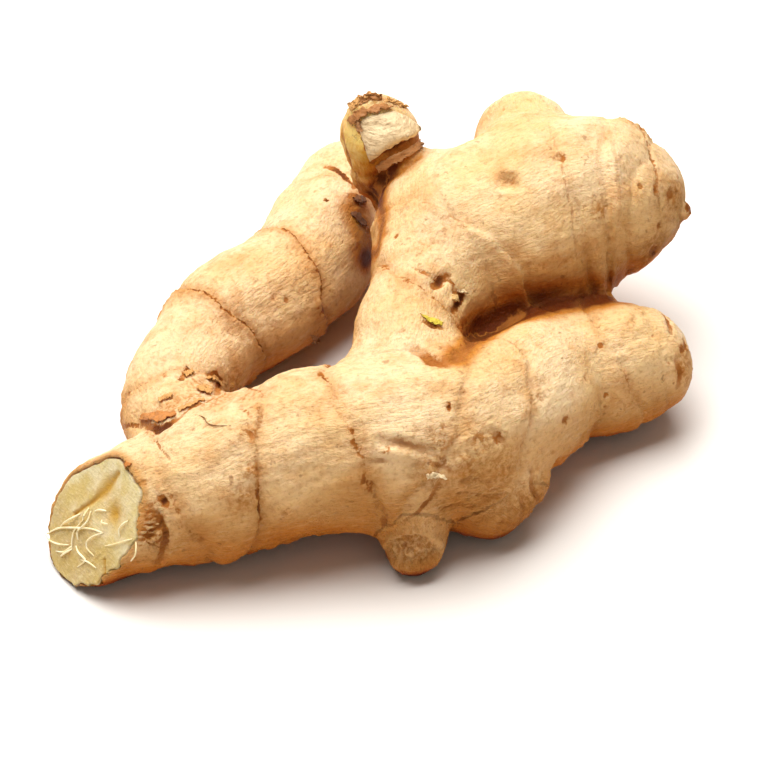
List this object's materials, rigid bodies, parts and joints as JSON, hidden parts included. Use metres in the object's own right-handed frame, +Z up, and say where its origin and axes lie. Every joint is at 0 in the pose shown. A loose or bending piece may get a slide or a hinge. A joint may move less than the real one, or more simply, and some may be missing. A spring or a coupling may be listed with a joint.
{
  "type": "ginger root",
  "caption": "Fresh ginger rhizome lying flat: a thick knobbly body with a side finger, a raised neck swelling into a large knob, a dry shoot stub and an oblique cut end.",
  "frame": {"origin": "on the surface the root rests on, under the middle of its bounding box", "axes": "+Z up; +X from the cut end towards the blunt tip of the body; +Y from the body towards the side finger and the knob"},
  "size_m": [0.1432, 0.1402, 0.058],
  "materials": {
    "skin": "thin matt tan skin with darker ring scars and a slight sheen",
    "flesh": "moist pale yellow fibrous cut flesh",
    "scale": "dry papery brown scale leaf",
    "fibre": "pale thin plant fibre"
  },
  "bodies": {
    "root": {"rhizome": "skin"}
  },
  "joints": []
}
